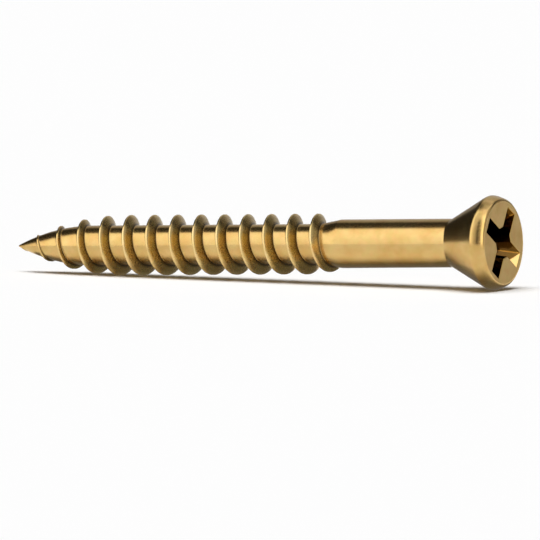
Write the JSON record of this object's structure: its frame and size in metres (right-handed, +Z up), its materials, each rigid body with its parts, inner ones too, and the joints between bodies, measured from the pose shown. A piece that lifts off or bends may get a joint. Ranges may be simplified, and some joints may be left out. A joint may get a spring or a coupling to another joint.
{
  "type": "trim screw",
  "caption": "Countersunk trim screw with a small conical head, cross recess, plain shank, coarse right-hand wood thread and gimlet point; fastens timber trim with its head sunk flush.",
  "frame": {"origin": "on the ground under the middle of the lying screw's box", "axes": "+X towards the head, +Z up; the screw's axis rises towards the head by 2.32 degrees, as it lies on its rim and one thread crest"},
  "size_m": [0.0382, 0.0066, 0.0066],
  "materials": {
    "plated_steel": "yellow zinc plating, satin"
  },
  "bodies": {
    "root": {"screw": "plated_steel"}
  },
  "joints": []
}
